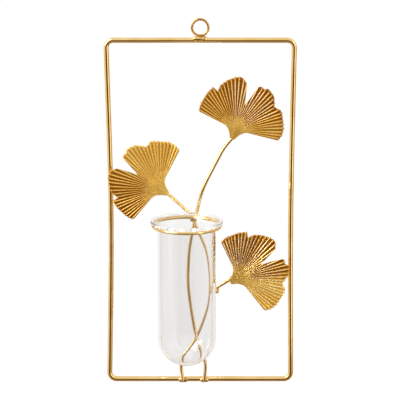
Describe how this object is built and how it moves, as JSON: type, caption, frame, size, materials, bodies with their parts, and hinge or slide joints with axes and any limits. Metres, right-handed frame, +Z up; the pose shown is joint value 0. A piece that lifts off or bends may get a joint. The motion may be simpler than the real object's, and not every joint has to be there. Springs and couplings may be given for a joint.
{
  "type": "hanging wall vase",
  "caption": "Hanging wall vase: a gilt wire frame whose ring holds a round-bottomed glass tube, with pleated ginkgo leaves on crossing wire stems behind it.",
  "frame": {"origin": "centre of the hanging eye's ring", "axes": "+X to the viewer's right, +Z up, +Y towards the wall; the leaves and the tube face -Y"},
  "size_m": [0.1602, 0.0649, 0.315],
  "materials": {
    "frame_wire": "polished gilt wire",
    "stem_wire": "polished gilt wire",
    "leaf_sheet": "gilt pressed sheet, satin with bright ridges",
    "weld": "plated weld bead",
    "clear_glass": "clear, polished"
  },
  "bodies": {
    "frame": {"wall_frame": "frame_wire", "hanging_eye": "frame_wire", "eye_weld": "weld", "holder_ring": "frame_wire", "ring_weld": "weld", "stem_left_leaf": "stem_wire", "stem_top_leaf": "stem_wire", "stem_right_leaf": "stem_wire", "branch_weld": "weld", "foot_welds": "weld", "leaf_left": "leaf_sheet", "leaf_top": "leaf_sheet", "leaf_right": "leaf_sheet", "leaf_welds": "weld"},
    "tube": {"glass_tube": "clear_glass"}
  },
  "joints": [
    {"name": "tube_lift", "type": "slide", "parent": "frame", "child": "tube", "axis": [0, 0, 1], "range_m": [0, 0.125]}
  ]
}
